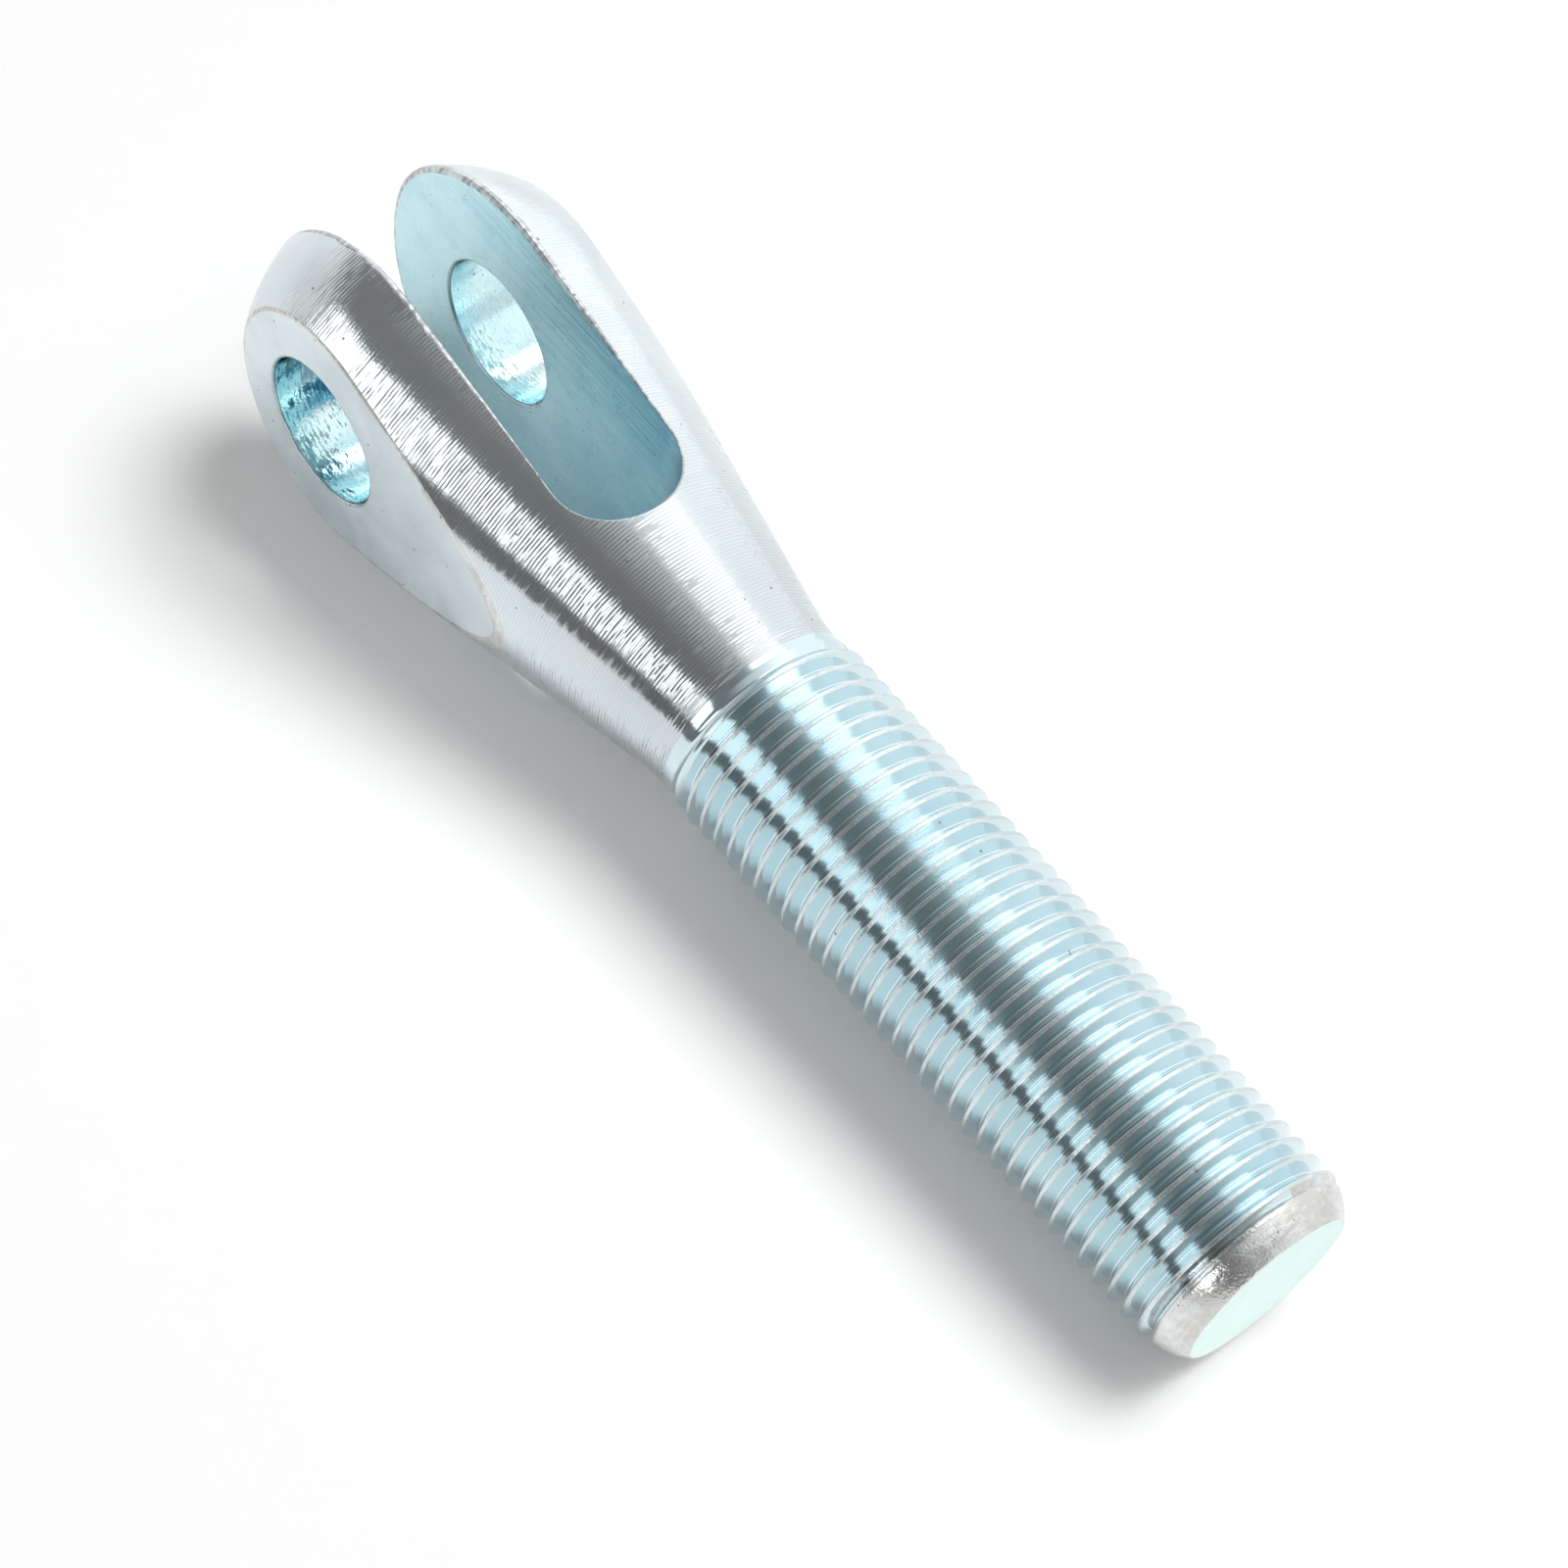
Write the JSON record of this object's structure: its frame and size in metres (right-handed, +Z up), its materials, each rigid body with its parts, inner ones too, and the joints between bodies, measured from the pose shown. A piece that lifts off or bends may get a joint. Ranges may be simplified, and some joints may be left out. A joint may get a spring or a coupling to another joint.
{
  "type": "tension rod clevis",
  "caption": "One-piece fork end: two flat-sided ears with a cross pin bore and a full-radius slot, tapering to a fine male thread.",
  "frame": {"origin": "where the pin bore's axis crosses the rod axis, midway between the ears", "axes": "+X along the rod axis from the fork's nose to the threaded end, +Y along the pin bore, +Z up, square to both"},
  "size_m": [0.0983, 0.0206, 0.0262],
  "materials": {
    "zinc_plated_steel": "turned and milled steel with a blue-bright zinc plate, satin, with fine turning lines"
  },
  "bodies": {
    "root": {"clevis": "zinc_plated_steel"}
  },
  "joints": []
}
